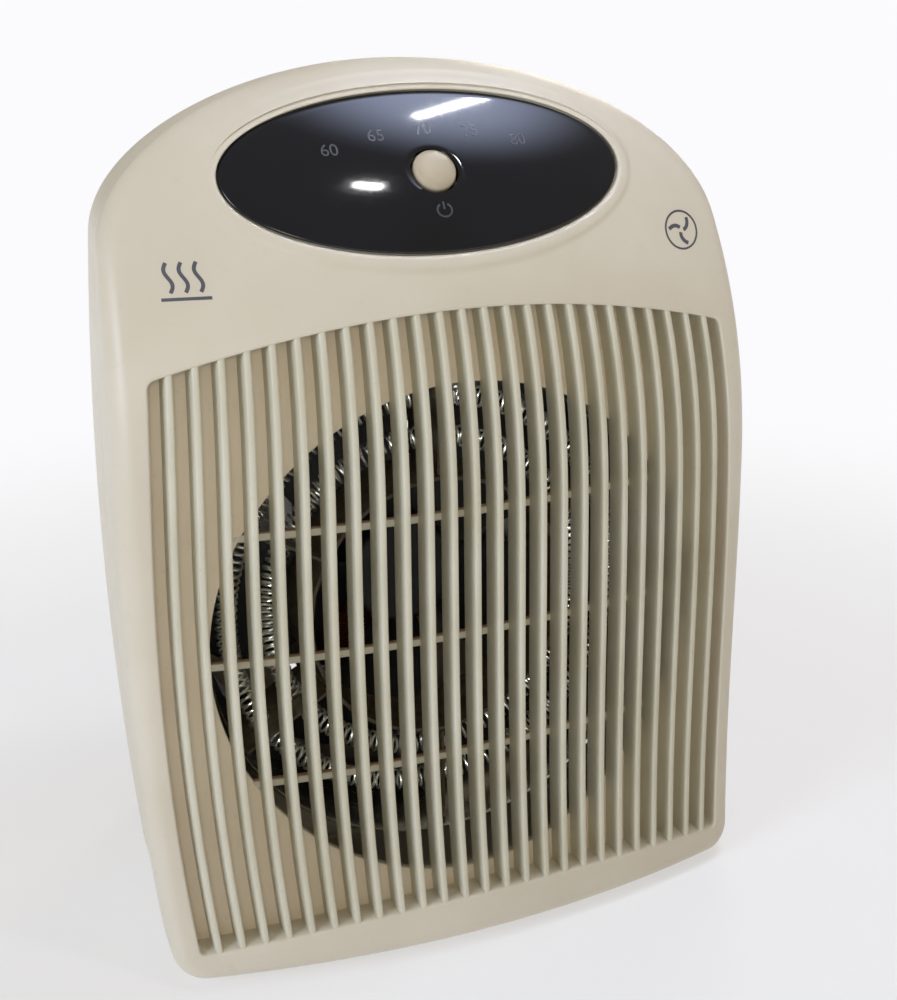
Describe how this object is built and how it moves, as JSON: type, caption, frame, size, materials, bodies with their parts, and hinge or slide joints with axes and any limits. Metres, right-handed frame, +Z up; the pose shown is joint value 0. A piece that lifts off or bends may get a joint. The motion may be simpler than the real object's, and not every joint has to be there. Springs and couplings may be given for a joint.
{
  "type": "fan heater",
  "caption": "Compact upright electric fan heater with a slatted curved front, a tilted oval control lens with one push button, and an open-coil element in front of an axial fan.",
  "frame": {"origin": "middle of the footprint, on the surface the feet stand on", "axes": "+Z up, front faces -Y, +X to the right as seen from the front"},
  "size_m": [0.2136, 0.15, 0.28],
  "materials": {
    "ivory_shell": "satin",
    "duct_plastic": "satin",
    "foot_rubber": "matt",
    "dark_lens": "polished",
    "zinc_steel": "zinc plated",
    "bronze": "sintered",
    "laminations": "varnished",
    "winding": "enamelled wire",
    "circuit_board": "solder mask",
    "led_red": "clear",
    "bright_duct": "bright rolled",
    "resistance_wire": "oxidised",
    "mica": "matt sheet",
    "white_ceramic": "fired",
    "relay_case": "moulded",
    "lead_sleeve": "woven sleeve",
    "fan_plastic": "moulded",
    "black_plastic": "moulded"
  },
  "bodies": {
    "case": {"front_cover": "ivory_shell", "rear_housing": "ivory_shell", "foot_1": "foot_rubber", "foot_2": "foot_rubber", "foot_3": "foot_rubber", "foot_4": "foot_rubber", "case_screw_1": "zinc_steel", "case_screw_2": "zinc_steel", "case_screw_3": "zinc_steel", "case_screw_4": "zinc_steel", "control_lens": "dark_lens", "tact_switch": "black_plastic", "board_screw_1": "zinc_steel", "board_screw_2": "zinc_steel", "control_board": "circuit_board", "indicator_led_1": "led_red", "indicator_led_2": "led_red", "indicator_led_3": "led_red", "indicator_led_4": "led_red", "indicator_led_5": "led_red", "element_duct": "bright_duct", "heating_coil_1": "resistance_wire", "heating_coil_2": "resistance_wire", "element_core_ring": "mica", "mica_fin_1": "mica", "mica_fin_2": "mica", "mica_fin_3": "mica", "mica_fin_4": "mica", "mica_fin_5": "mica", "mica_fin_6": "mica", "thermal_cutoff": "white_ceramic", "thermal_fuse": "white_ceramic", "fan_shroud": "duct_plastic", "shroud_screw_1": "zinc_steel", "shroud_screw_2": "zinc_steel", "shroud_screw_3": "zinc_steel", "shroud_screw_4": "zinc_steel", "strap_screw_1": "zinc_steel", "strap_screw_2": "zinc_steel", "motor_strap": "zinc_steel", "front_bridge": "zinc_steel", "rear_bridge": "zinc_steel", "front_bearing": "bronze", "rear_bearing": "bronze", "stator_core": "laminations", "stator_coil": "winding", "motor_screw_1": "zinc_steel", "motor_screw_2": "zinc_steel", "power_board": "circuit_board", "relay_1": "relay_case", "relay_2": "relay_case", "cord_gland": "black_plastic", "tip_switch": "black_plastic", "live_lead": "lead_sleeve"},
    "fan": {"fan_impeller": "fan_plastic", "motor_shaft": "zinc_steel", "rotor": "laminations"},
    "button": {"button_cap": "ivory_shell", "switch_plunger": "black_plastic"},
    "tip_plunger": {"tip_plunger": "black_plastic"}
  },
  "joints": [
    {"name": "fan_spin", "type": "hinge", "parent": "case", "child": "fan", "pos_m": [0, 0.02, 0.1055], "axis": [0, 1, 0], "continuous": true},
    {"name": "button_press", "type": "slide", "parent": "case", "child": "button", "axis": [0, 0.794, -0.608], "range_m": [0, 0.0012], "stiffness_N_per_m": 1000, "springref_m": -0.0004},
    {"name": "tip_plunger_slide", "type": "slide", "parent": "case", "child": "tip_plunger", "axis": [0, 0, -1], "range_m": [0, 0.003], "stiffness_N_per_m": 100, "springref_m": 0.006}
  ]
}
